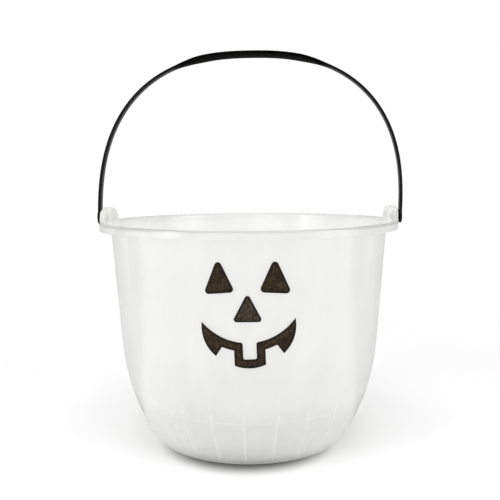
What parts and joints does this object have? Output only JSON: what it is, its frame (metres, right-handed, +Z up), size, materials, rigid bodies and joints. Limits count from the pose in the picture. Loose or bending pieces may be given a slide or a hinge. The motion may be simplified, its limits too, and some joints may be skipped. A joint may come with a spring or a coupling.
{
  "type": "trick-or-treat bucket",
  "caption": "bowl-shaped clear plastic candy bucket with a rolled rim, a black swinging strap handle snapped into two ears, and a stuck-on pumpkin face",
  "frame": {"origin": "middle of the flat foot, on the surface that the bucket stands on", "axes": "+Z up; -Y is the front, with the face; X runs through the two ears, along the handle's pivot axis"},
  "size_m": [0.2173, 0.2099, 0.2711],
  "materials": {
    "clear_plastic": "frosted clear moulded polypropylene, smooth and slightly milky",
    "black_plastic": "black moulded plastic with a soft sheen",
    "face_film": "thin brown-black film, lightly scratched, with a darker edge"
  },
  "bodies": {
    "bucket": {"bucket": "clear_plastic", "eye_left": "face_film", "eye_right": "face_film", "nose": "face_film", "mouth": "face_film"},
    "handle": {"handle": "black_plastic"}
  },
  "joints": [
    {"name": "handle_swing", "type": "hinge", "parent": "bucket", "child": "handle", "pos_m": [0, 0, 0.1568], "axis": [1, 0, 0], "range_deg": [-118, 118]}
  ]
}
